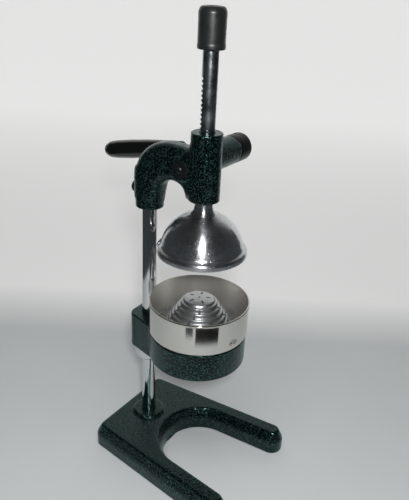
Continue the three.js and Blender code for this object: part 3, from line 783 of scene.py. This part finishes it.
def end_screw():
    """The button-head screw in the left end of the shaft."""
    low, high = box("shaft_retaining_screw")
    length, head = high[0] - low[0], 3.0
    outline = rounded(
        [(0, 0, 0), (2.9, 0, 0.4), (4.6, 1.6, 1.4), (4.6, head, 0.3), (2.3, head, 0.2), (2.3, length, 0.4),
         (0, length, 0)]
    )
    screw = turned("end_screw", outline, 56)
    cut(screw, prism("socket", disc(2, 6), -2, 1.8))
    return placed(screw, at(low[0], PINION_Y, PINION_Z) @ ALONG_X)


def cross_pin():
    half, radius = HUB_R - 1, 2.4
    outline = rounded([(0, -half, 0), (radius, -half, 0.9), (radius, half, 0.9), (0, half, 0)])
    return placed(turned("steel_cross_pin", outline, 48), ACROSS_LEVER)


def dome_bolt():
    """The hexagon screw that holds the dome up against its spigot."""
    low, high = box("dome_screw")
    head_r, head, shank_r, length = 6.0, 4.2, 2.8, high[2] - low[2]
    hexagon = prism("steel_dome_bolt", disc(head_r, 6), 0, head)
    shaped = rounded(
        [(0, 0, 0), (head_r * 0.84, 0, 0.2), (head_r + 0.05, 1.2, 0), (head_r + 0.05, head, 0), (0, head, 0)]
    )
    intersect(hexagon, turned("chamfer", shaped, 48))
    bevel(hexagon, 0.3, 2, 25)
    side = rounded([(0, head - 1, 0), (shank_r, head - 1, 0), (shank_r, length, 0.6), (0, length, 0)])
    piece = shade_by_angle(join([hexagon, turned("shank", side, 40)]))
    return placed(piece, at(0, RAM_Y, low[2]))


# ---- materials
class Finish:
    """A material with one Principled shader, and short calls that add nodes to it."""

    def __init__(self, name, **settings):
        self.material = bpy.data.materials.new(name)
        self.material.use_nodes = True
        self.tree = self.material.node_tree
        self.tree.nodes.clear()
        output = self.tree.nodes.new("ShaderNodeOutputMaterial")
        self.shader = self.tree.nodes.new("ShaderNodeBsdfPrincipled")
        self.tree.links.new(self.shader.outputs[0], output.inputs[0])
        for socket, value in settings.items():
            self.shader.inputs[socket.replace("_", " ")].default_value = value
        self.place = self.add("ShaderNodeTexCoord").outputs["Object"]

    def add(self, kind, inputs=None, **settings):
        node = self.tree.nodes.new(kind)
        for name, value in settings.items():
            setattr(node, name, value)
        for socket, value in (inputs or {}).items():
            self.feed(node.inputs[socket], value)
        return node

    def feed(self, socket, value):
        if isinstance(value, bpy.types.NodeSocket):
            self.tree.links.new(value, socket)
        else:
            socket.default_value = value

    def brushed_round(self):
        """Turns the long way of the gloss across grooves that run round an upright axis."""
        tangent = self.add("ShaderNodeTangent", direction_type="RADIAL", axis="Z").outputs[0]
        self.feed(self.shader.inputs["Tangent"], tangent)

    def vector(self, operation, a, b):
        return self.add("ShaderNodeVectorMath", {0: a, 1: b}, operation=operation).outputs

    def stretched(self, x, y, z, place=None):
        """A place scaled unevenly, so that a noise on it draws lines."""
        return self.vector("MULTIPLY", place or self.place, (x, y, z))[0]

    def about_ram(self):
        """Distance from the ram's axis, and a place made of that distance and the height."""
        centred = self.vector("SUBTRACT", self.place, (0, RAM_Y * MM, 0))[0]
        parts = self.add("ShaderNodeSeparateXYZ", {0: centred}).outputs
        squares = [self.math("MULTIPLY", part, part) for part in (parts[0], parts[1])]
        radius = self.math("SQRT", self.math("ADD", *squares), 0.0)
        return radius, self.add("ShaderNodeCombineXYZ", {0: radius, 1: parts[2], 2: 0.0}).outputs[0]

    def math(self, operation, a, b):
        return self.add("ShaderNodeMath", {0: a, 1: b}, operation=operation).outputs[0]

    def noise(self, scale, detail=3.0, roughness=0.5, place=None):
        inputs = {"Vector": place or self.place, "Scale": scale, "Detail": detail, "Roughness": roughness}
        return self.add("ShaderNodeTexNoise", inputs).outputs["Fac"]

    def cells(self, scale, smooth=0.6):
        inputs = {"Vector": self.place, "Scale": scale, "Smoothness": smooth}
        return self.add("ShaderNodeTexVoronoi", inputs, feature="SMOOTH_F1").outputs["Distance"]

    def spread(self, value, low, high, to_low=0.0, to_high=1.0):
        """Maps low..high of a value to to_low..to_high, clamped."""
        inputs = {0: value, 1: low, 2: high, 3: to_low, 4: to_high}
        return self.add("ShaderNodeMapRange", inputs, clamp=True).outputs[0]

    def blend(self, share, a, b):
        node = self.add("ShaderNodeMix", {0: share}, data_type="RGBA")
        self.feed(node.inputs[6], a)
        self.feed(node.inputs[7], b)
        return node.outputs[2]

    def edges(self, low=0.53, high=0.58):
        """Near 1 on convex edges, where a finish wears first."""
        pointiness = self.add("ShaderNodeNewGeometry").outputs["Pointiness"]
        return self.spread(pointiness, low, high)

    def bump(self, height, distance, strength=1.0, below=None):
        inputs = {"Height": height, "Distance": distance, "Strength": strength}
        if below is not None:
            inputs["Normal"] = below
        return self.add("ShaderNodeBump", inputs).outputs[0]

    def wear(self, colour=None, roughness=None, normal=None, metallic=None):
        """Joins what was made to the shader."""
        parts = {"Base Color": colour, "Roughness": roughness, "Normal": normal, "Metallic": metallic}
        for socket, value in parts.items():
            if value is not None:
                self.feed(self.shader.inputs[socket], value)
        return self.material


def cast_paint():
    """Green-black hammered enamel: a glossy, dimpled skin with metal flecks that catch the light."""
    f = Finish("cast_paint", IOR=1.5, Specular_IOR_Level=0.36, Specular_Tint=(0.6, 0.97, 0.93, 1))
    dimples = f.cells(470, 0.25)
    grains = f.noise(800, 2.0)
    drift = f.noise(38, 2.0)
    height = f.math("ADD", f.math("MULTIPLY", dimples, 1.3), grains)
    flecks = f.spread(f.noise(500, 1.0), 0.56, 0.62)
    ground = f.blend(drift, (0.0002, 0.0008, 0.0007, 1), (0.0005, 0.0019, 0.0017, 1))
    colour = f.blend(flecks, ground, (0.056, 0.124, 0.116, 1))
    worn = f.math("MULTIPLY", f.edges(0.56, 0.66), f.spread(f.noise(160, 3.0), 0.55, 0.7))
    colour = f.blend(f.math("MULTIPLY", worn, 0.3), colour, (0.05, 0.055, 0.05, 1))
    glossy = f.spread(f.math("ADD", drift, f.math("MULTIPLY", grains, 0.5)), 0.5, 1.0, 0.07, 0.13)
    roughness = f.math("ADD", glossy, f.math("MULTIPLY", flecks, 0.1))
    return f.wear(colour, roughness, f.bump(height, 0.00027, 1.0), f.math("MULTIPLY", flecks, 0.9))


def smooth_paint():
    """The same enamel where it ran out smooth, on the turned hub."""
    f = Finish("hub_paint", IOR=1.5, Specular_IOR_Level=0.22)
    grains = f.noise(900, 3.0)
    drift = f.noise(30, 2.0)
    colour = f.blend(drift, (0.0008, 0.0016, 0.0015, 1), (0.0016, 0.003, 0.0028, 1))
    worn = f.math("MULTIPLY", f.edges(0.55, 0.62), f.spread(f.noise(220, 3.0), 0.45, 0.65))
    colour = f.blend(f.math("MULTIPLY", worn, 0.4), colour, (0.1, 0.1, 0.095, 1))
    roughness = f.spread(grains, 0.3, 0.7, 0.24, 0.38)
    return f.wear(colour, roughness, f.bump(grains, 0.0002, 0.45))


def chrome():
    """Bright plating: long draw lines, faint smears and a few specks."""
    f = Finish("chrome_plate", Metallic=1.0)
    lines = f.noise(1.0, 3.0, 0.6, f.stretched(2600, 2600, 14))
    smears = f.noise(1.0, 4.0, 0.65, f.stretched(150, 150, 5))
    specks = f.spread(f.noise(640, 1.0), 0.7, 0.78)
    colour = f.blend(smears, (0.60, 0.62, 0.64, 1), (0.74, 0.75, 0.765, 1))
    colour = f.blend(f.math("MULTIPLY", specks, 0.4), colour, (0.25, 0.24, 0.23, 1))
    roughness = f.spread(smears, 0.35, 0.75, 0.06, 0.15)
    return f.wear(colour, roughness, f.bump(lines, 0.000005, 0.12))


def stainless(name, shade, gloss, brushed, satin_within):
    """Spun stainless: fine rings round the ram's axis under a polish, satin inside a radius."""
    f = Finish(name, Metallic=1.0, Anisotropic=brushed, Anisotropic_Rotation=0.25)
    f.brushed_round()
    radius, turned_place = f.about_ram()
    rings = f.noise(1.0, 4.0, 0.6, f.stretched(3200, 3200, 1, turned_place))
    satin = f.spread(radius, (satin_within - 0.2) * MM, (satin_within + 0.2) * MM, 0.30, 0.0)
    smears = f.noise(21, 4.0, 0.6)
    stains = f.spread(f.noise(85, 4.0, 0.6), 0.6, 0.8)
    light = tuple(c * 1.14 for c in shade)
    colour = f.blend(smears, shade + (1,), light + (1,))
    colour = f.blend(f.math("MULTIPLY", stains, 0.15), colour, tuple(c * 0.7 for c in shade) + (1,))
    roughness = f.spread(f.math("ADD", smears, f.math("MULTIPLY", rings, 0.35)), 0.3, 1.1, *gloss)
    roughness = f.math("ADD", roughness, satin)
    return f.wear(colour, roughness, f.bump(rings, 0.00003, 0.4))


def aluminium():
    """Polished cast aluminium: lathe rings, small pits and a cloudy polish."""
    f = Finish("polished_aluminium", Metallic=1.0, Anisotropic=0.8, Anisotropic_Rotation=0.25)
    f.brushed_round()
    rings = f.noise(1.0, 3.0, 0.6, f.stretched(1500, 1500, 1, f.about_ram()[1]))
    clouds = f.noise(34, 4.0, 0.6)
    waves = f.noise(95, 2.0)
    pits = f.spread(f.noise(700, 2.0), 0.66, 0.74)
    colour = f.blend(clouds, (0.46, 0.48, 0.50, 1), (0.68, 0.70, 0.72, 1))
    colour = f.blend(f.math("MULTIPLY", pits, 0.7), colour, (0.12, 0.13, 0.135, 1))
    roughness = f.spread(f.math("ADD", clouds, f.math("MULTIPLY", rings, 0.4)), 0.5, 1.0, 0.21, 0.38)
    low = f.bump(waves, 0.0009, 0.35)
    middle_bump = f.bump(rings, 0.00005, 0.5, low)
    return f.wear(colour, roughness, f.bump(f.math("SUBTRACT", 1.0, pits), 0.00012, 0.5, middle_bump))


def machined_steel(name, shade, rough_low, rough_high, oily=0.35):
    """Machined steel with cutter marks, a film of oil in the hollows and rubbed edges."""
    f = Finish(name, Metallic=1.0)
    marks = f.noise(1.0, 4.0, 0.65, f.stretched(700, 700, 4200))
    film = f.noise(60, 4.0, 0.6)
    dark = tuple(c * (1 - oily) for c in shade) + (1,)
    colour = f.blend(f.spread(film, 0.35, 0.7), dark, shade + (1,))
    bright = tuple(min(1, c * 1.35) for c in shade) + (1,)
    colour = f.blend(f.math("MULTIPLY", f.edges(), 0.7), colour, bright)
    roughness = f.spread(f.math("ADD", film, f.math("MULTIPLY", marks, 0.5)), 0.5, 1.1, rough_low, rough_high)
    return f.wear(colour, roughness, f.bump(marks, 0.00006, 0.5))


def black_oxide():
    f = Finish("black_oxide", Metallic=0.75)
    grain = f.noise(900, 4.0, 0.6)
    film = f.noise(70, 3.0)
    colour = f.blend(film, (0.010, 0.011, 0.012, 1), (0.026, 0.027, 0.029, 1))
    colour = f.blend(f.math("MULTIPLY", f.edges(), 0.6), colour, (0.16, 0.155, 0.15, 1))
    return f.wear(colour, f.spread(grain, 0.3, 0.7, 0.3, 0.5), f.bump(grain, 0.00006, 0.5))


def grip_plastic():
    """Glossy black phenolic: a faint ripple from the mould and fine rubs from hands."""
    f = Finish("grip_plastic", IOR=1.55, Coat_Weight=0.25, Coat_Roughness=0.05)
    ripple = f.noise(26, 2.0)
    rubs = f.noise(1.0, 4.0, 0.7, f.stretched(900, 60, 900))
    colour = f.blend(ripple, (0.0012, 0.0016, 0.0015, 1), (0.003, 0.0042, 0.0038, 1))
    roughness = f.spread(f.math("ADD", rubs, ripple), 0.7, 1.4, 0.1, 0.26)
    low = f.bump(ripple, 0.0012, 0.12)
    return f.wear(colour, roughness, f.bump(rubs, 0.00003, 0.4, low))


def cap_rubber():
    """Moulded rubber: fine matt grain under a thin film of dust."""
    f = Finish("cap_rubber", IOR=1.5, Sheen_Weight=0.12, Sheen_Roughness=0.4)
    grain = f.noise(1300, 3.0, 0.6)
    film = f.noise(90, 4.0, 0.6)
    colour = f.blend(film, (0.006, 0.0068, 0.0070, 1), (0.012, 0.0136, 0.0138, 1))
    dust = f.math("MULTIPLY", f.spread(f.noise(260, 5.0, 0.65), 0.6, 0.78), 0.3)
    colour = f.blend(dust, colour, (0.07, 0.075, 0.073, 1))
    return f.wear(colour, f.spread(film, 0.3, 0.75, 0.3, 0.5), f.bump(grain, 0.00012, 0.55))


def floor_cloth():
    """A grey cloth under the press that runs out to a paler floor behind it, where the floor also glows
    faintly as painted light.
    """
    f = Finish("floor_cloth", Emission_Color=(1, 1, 1, 1))
    weave = f.noise(1.0, 2.0, 0.5, f.stretched(420, 420, 420))
    drift = f.noise(3.2, 4.0, 0.55)
    away = f.vector("DOT_PRODUCT", f.place, AWAY)["Value"]
    cloth = f.blend(drift, (0.43, 0.455, 0.46, 1), (0.51, 0.53, 0.535, 1))
    far = f.spread(away, 0.24, 0.40)
    colour = f.blend(far, cloth, (0.86, 0.865, 0.86, 1))
    # Painted light: further behind the press the floor glows faintly, brighter than the lamps alone make it.
    f.feed(f.shader.inputs["Emission Strength"], f.spread(away, 0.3, 2.0, 0.0, 0.3))
    low = f.bump(drift, 0.02, 0.15)
    return f.wear(colour, f.spread(weave, 0.3, 0.7, 0.75, 0.95), f.bump(weave, 0.0004, 0.35, low))


# ---- the object
PAINT = cast_paint()
HUB_PAINT = smooth_paint()
CHROME = chrome()
BOWL_STEEL = stainless("spun_stainless", (0.62, 0.605, 0.57), (0.07, 0.13), 0.1, 62.0)
CONE_STEEL = stainless("pressed_stainless", (0.50, 0.51, 0.52), (0.33, 0.46), 0.3, 0.0)
ALUMINIUM = aluminium()
STEEL = machined_steel("machined_steel", (0.50, 0.505, 0.51), 0.2, 0.42)
RACK_STEEL = machined_steel("rack_steel", (0.42, 0.46, 0.47), 0.22, 0.42, 0.6)
BRONZE = machined_steel("sintered_bronze", (0.55, 0.36, 0.15), 0.3, 0.5, 0.3)
OXIDE = black_oxide()
PLASTIC = grip_plastic()
RUBBER = cap_rubber()


def fit(piece, node, body, material):
    """A finished piece in the place of its CAD node, moving with its body."""
    piece.data.materials.clear()
    piece.data.materials.append(material)
    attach(piece, body)
    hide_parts(node)


fit(base_casting(), "base_casting", "frame", PAINT)
fit(set_screw("base_grub_screw", "base_set_screw"), "base_set_screw", "frame", OXIDE)
fit(column(), "column", "frame", CHROME)
fit(support_collar(), "support_collar", "frame", CHROME)
fit(set_screw("collar_grub_screw", "collar_set_screw"), "collar_set_screw", "frame", OXIDE)
fit(bowl_bracket(), "bowl_bracket", "frame", PAINT)
bracket_face = BRACKET_HIGH[1] + BORE_GAP
bracket_screw = hex_screw("bracket_screw", "bracket_clamp_screw", 6.5, 4, bracket_face)
fit(bracket_screw, "bracket_clamp_screw", "frame", OXIDE)
fit(juice_bowl(), "juice_bowl", "frame", BOWL_STEEL)
fit(strainer(), "strainer_cone", "frame", CONE_STEEL)
fit(head_casting(), "head_casting", "frame", PAINT)
head_screw = round_screw("head_screw", "head_clamp_screw", 3.8, 17.9)
fit(head_screw, "head_clamp_screw", "frame", OXIDE)
for side in ("left", "inner", "outer"):
    fit(bush(f"bronze_bush_{side}", f"shaft_bush_{side}"), f"shaft_bush_{side}", "frame", BRONZE)

for node in ("pinion_gear", "lever_shaft", "pinion_key"):  # CAD nodes whose shape is right
    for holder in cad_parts[node].material_slots:
        holder.material = STEEL
fit(washer("end_washer", "shaft_washer", 2.6), "shaft_washer", "lever", OXIDE)
fit(end_screw(), "shaft_retaining_screw", "lever", OXIDE)
fit(lever_hub(), "lever_hub", "lever", HUB_PAINT)
fit(cross_pin(), "hub_cross_pin", "lever", STEEL)
fit(lever_rod(), "lever_rod", "lever", CHROME)
fit(lock_nut(), "lever_lock_nut", "lever", STEEL)
fit(lever_grip(), "lever_grip", "lever", PLASTIC)

fit(ram_bar(), "ram_rack", "ram", RACK_STEEL)
fit(ram_cap(), "ram_cap", "ram", RUBBER)
fit(press_dome(), "press_dome", "ram", ALUMINIUM)
fit(washer("bolt_washer", "dome_washer", 3.1), "dome_washer", "ram", STEEL)
fit(dome_bolt(), "dome_screw", "ram", STEEL)


# ---- floor, light and camera
def floor():
    ring = disc(FLOOR_REACH, 96)
    sheet = mesh_object("floor", [(x, y, -0.2) for x, y in ring], [list(range(len(ring)))], smooth=False)
    sheet.data.materials.append(floor_cloth())


def flash():
    """A small round light by the camera that faces the middle of the press."""
    place, aim = Vector((-600, -520, 760)), Vector((0, -40, 260))
    light = bpy.data.lights.new("flash", "AREA")
    light.shape = "DISK"
    light.size = 80 * MM
    light.energy = 7.5
    lamp = new_object("flash", light)
    lamp.location = place * MM
    lamp.rotation_mode = "QUATERNION"
    lamp.rotation_quaternion = (aim - place).to_track_quat("-Z", "Y")


def lights():
    """A pale wall low behind the press, a dark room elsewhere, and a soft ceiling."""
    world = bpy.data.worlds.new("pale_room")
    bpy.context.scene.world = world
    world.use_nodes = True
    nodes, links = world.node_tree.nodes, world.node_tree.links
    direction = nodes.new("ShaderNodeTexCoord").outputs["Generated"]
    towards_wall = nodes.new("ShaderNodeVectorMath")
    towards_wall.operation = "DOT_PRODUCT"
    towards_wall.inputs[1].default_value = AWAY
    links.new(direction, towards_wall.inputs[0])
    share = nodes.new("ShaderNodeMapRange")
    share.interpolation_type = "SMOOTHSTEP"
    wall_from, wall_full, room_glow, wall_glow = 0.42, 0.8, 0.035, 0.75
    for socket, value in zip(share.inputs[1:5], (wall_from, wall_full, room_glow, wall_glow)):
        socket.default_value = value
    links.new(towards_wall.outputs["Value"], share.inputs[0])
    background = nodes["Background"]
    background.inputs[0].default_value = (1.0, 0.99, 0.97, 1)
    links.new(share.outputs[0], background.inputs[1])
    ceiling = bpy.data.lights.new("ceiling", "SUN")
    ceiling.angle = math.radians(50)
    ceiling.energy = 1.35
    lamp = new_object("ceiling", ceiling)
    lamp.rotation_euler = (math.radians(8), math.radians(-14), 0)
    lamp.visible_glossy = False


def glow(name, colour, strength):
    f = Finish(name, Emission_Color=colour, Emission_Strength=strength)
    return f.wear((0.001, 0.001, 0.001, 1), 1.0)


def screen(name, centre, reach, sweep, heights, material, ray):
    """An upright curved screen that only one kind of ray sees."""
    steps = 40
    ring = arc(centre, reach, *sweep, steps)
    points = [(x, y, z) for z in heights for x, y in ring]
    faces = [(i, i + 1, steps + 2 + i, steps + 1 + i) for i in range(steps)]
    card = mesh_object(name, points, faces, smooth=False)
    card.data.materials.append(material)
    for other in ("camera", "diffuse", "glossy", "shadow", "transmission", "volume_scatter"):
        setattr(card, "visible_" + other, other == ray)


def screens():
    """Dark screens in front of the press, seen only in its gloss, and a pale backdrop all round it."""
    ahead = math.degrees(math.atan2(-AWAY[1], -AWAY[0]))
    grey = glow("screen_grey", (0.8, 0.95, 1.0, 1), 0.042)
    black = glow("screen_black", (0.8, 0.95, 1.0, 1), 0.001)
    pale = glow("backdrop_pale", (1, 1, 1, 1), 0.72)
    reflected = (
        ("wide", 560, (-130, 130), (4, 590), grey),
        ("near", 220, (-4, 43), (88, 137), black),
        ("thin", 235, (-24, -9), (94, 126), grey),
    )
    for name, reach, sweep, heights, shade in reflected:
        sweep = [ahead + turn for turn in sweep]
        screen("screen_" + name, (0, RAM_Y), reach, sweep, heights, shade, "glossy")
    screen("backdrop", (0, 0), FLOOR_REACH - 500, (0, 360), (-2, 120000), pale, "camera")


def camera():
    """Stands in front and to the left, looking down, with a slight roll."""
    place = Vector((-526.98, -429.65, 626.11))
    azimuth, down, roll = math.radians(-56.75), math.radians(25.92), math.radians(2.89)
    level = Vector((math.cos(azimuth), math.sin(azimuth), 0))
    ahead = Vector((-math.sin(azimuth) * math.cos(down), math.cos(azimuth) * math.cos(down), -math.sin(down)))
    upward = level.cross(ahead)
    right = math.cos(roll) * level + math.sin(roll) * upward
    top = -math.sin(roll) * level + math.cos(roll) * upward
    lens = bpy.data.cameras.new("camera")
    lens.sensor_fit = "VERTICAL"
    lens.sensor_height = 24
    lens.lens = 28.17
    lens.clip_start = 0.02
    lens.clip_end = 100
    view = new_object("camera", lens)
    view.matrix_world = Matrix.Translation(place * MM) @ Matrix((right, top, -ahead)).transposed().to_4x4()
    bpy.context.scene.camera = view
    bpy.context.scene.view_settings.view_transform = "Standard"


floor()
screens()
flash()
lights()
camera()
